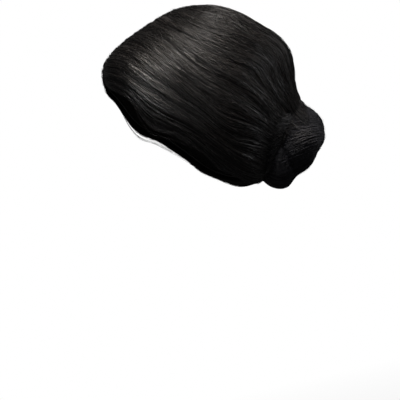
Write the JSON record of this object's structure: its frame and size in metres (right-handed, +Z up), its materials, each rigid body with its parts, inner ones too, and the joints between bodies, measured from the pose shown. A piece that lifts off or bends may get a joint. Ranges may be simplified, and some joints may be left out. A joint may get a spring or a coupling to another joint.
{
  "type": "bun wig",
  "caption": "Black costume wig, parted in the middle and swept back over the ears into a low round bun with its end tucked under, sewn to a stretch cap open for the head.",
  "frame": {"origin": "on the inside of the stretch cap, straight above the middle of the head, where the wig sits on the crown", "axes": "+Z up on an upright head, -Y the way the wearer faces, so the bun is towards +Y, and +X the wearer's left"},
  "size_m": [0.1756, 0.2299, 0.2223],
  "materials": {
    "swept_hair": "black synthetic hair fibre, brushed straight, with a soft silky shine along the strands",
    "coiled_hair": "black synthetic hair fibre with a faint blue cast, coiled and smoothed, satin shine",
    "cap_net": "black stretch net with rows of sewn weft, matt"
  },
  "bodies": {
    "root": {"stretch_cap": "cap_net", "hair_left": "swept_hair", "hair_right": "swept_hair", "bun": "coiled_hair", "bun_tuck": "coiled_hair"}
  },
  "joints": []
}
